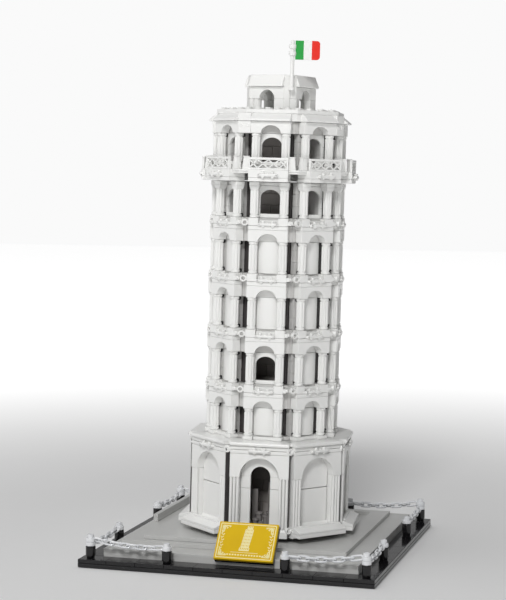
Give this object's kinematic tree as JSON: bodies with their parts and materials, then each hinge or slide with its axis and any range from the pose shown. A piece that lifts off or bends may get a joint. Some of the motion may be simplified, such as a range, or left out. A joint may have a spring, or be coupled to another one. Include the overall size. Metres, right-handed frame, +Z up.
{
  "type": "miniature landmark model",
  "caption": "Display model of a leaning round tower with arcaded galleries on a square plaza, with chained bollards, a tilting nameplate and a small flag.",
  "frame": {"origin": "centre of the underside of the base plate", "axes": "+Z up, nameplate and door facing -Y, the tower leans towards +X"},
  "size_m": [0.24, 0.24, 0.4185],
  "materials": {
    "white_plastic": "moulded gloss white ABS",
    "chain_plastic": "pale moulded chain",
    "terrace_plastic": "moulded light grey ABS",
    "inner_plastic": "moulded dark grey ABS, inside",
    "black_plastic": "polished black ABS",
    "nameplate": "printed golden yellow tile",
    "flag_print": "printed flag, green, white and red stripes"
  },
  "bodies": {
    "model": {"ground_arcade": "white_plastic", "ground_wall": "white_plastic", "ground_cornice": "white_plastic", "gallery_1_arcade": "white_plastic", "gallery_1_wall": "white_plastic", "gallery_2_arcade": "white_plastic", "gallery_2_wall": "white_plastic", "gallery_3_arcade": "white_plastic", "gallery_3_wall": "white_plastic", "gallery_4_arcade": "white_plastic", "gallery_4_wall": "white_plastic", "gallery_5_arcade": "white_plastic", "gallery_5_wall": "white_plastic", "gallery_6_arcade": "white_plastic", "gallery_6_wall": "white_plastic", "balcony": "white_plastic", "roof_deck": "white_plastic", "belfry_arcade": "white_plastic", "belfry_roof": "white_plastic", "flagpole": "white_plastic", "chain_front_1": "chain_plastic", "chain_front_2": "chain_plastic", "chain_right_1": "chain_plastic", "chain_right_2": "chain_plastic", "chain_back_1": "chain_plastic", "chain_back_2": "chain_plastic", "chain_left_1": "chain_plastic", "chain_left_2": "chain_plastic", "ground_terrace": "terrace_plastic", "lower_step": "terrace_plastic", "upper_step": "terrace_plastic", "left_kerb": "terrace_plastic", "tilt_wedge": "inner_plastic", "core_ground": "inner_plastic", "core_lower": "inner_plastic", "core_upper": "inner_plastic", "base_plate": "black_plastic", "border_front": "black_plastic", "border_back": "black_plastic", "border_left": "black_plastic", "border_right": "black_plastic", "sign_bracket": "black_plastic", "bollard_front_1": "black_plastic", "bollard_front_2": "black_plastic", "bollard_front_3": "black_plastic", "bollard_right_1": "black_plastic", "bollard_right_2": "black_plastic", "bollard_right_3": "black_plastic", "bollard_back_1": "black_plastic", "bollard_back_2": "black_plastic", "bollard_back_3": "black_plastic", "bollard_left_1": "black_plastic", "bollard_left_2": "black_plastic", "bollard_left_3": "black_plastic"},
    "sign": {"sign_back": "black_plastic", "sign_face": "nameplate"},
    "flag": {"flag": "flag_print"}
  },
  "joints": [
    {"name": "sign_tilt", "type": "hinge", "parent": "model", "child": "sign", "pos_m": [0.014, -0.098, 0.0162], "axis": [-1, 0, 0], "range_deg": [0, 40]},
    {"name": "flag_swivel", "type": "hinge", "parent": "model", "child": "flag", "pos_m": [0.02857, -0.02797, 0.37851], "axis": [0.0244, 0, 0.9997], "continuous": true}
  ]
}
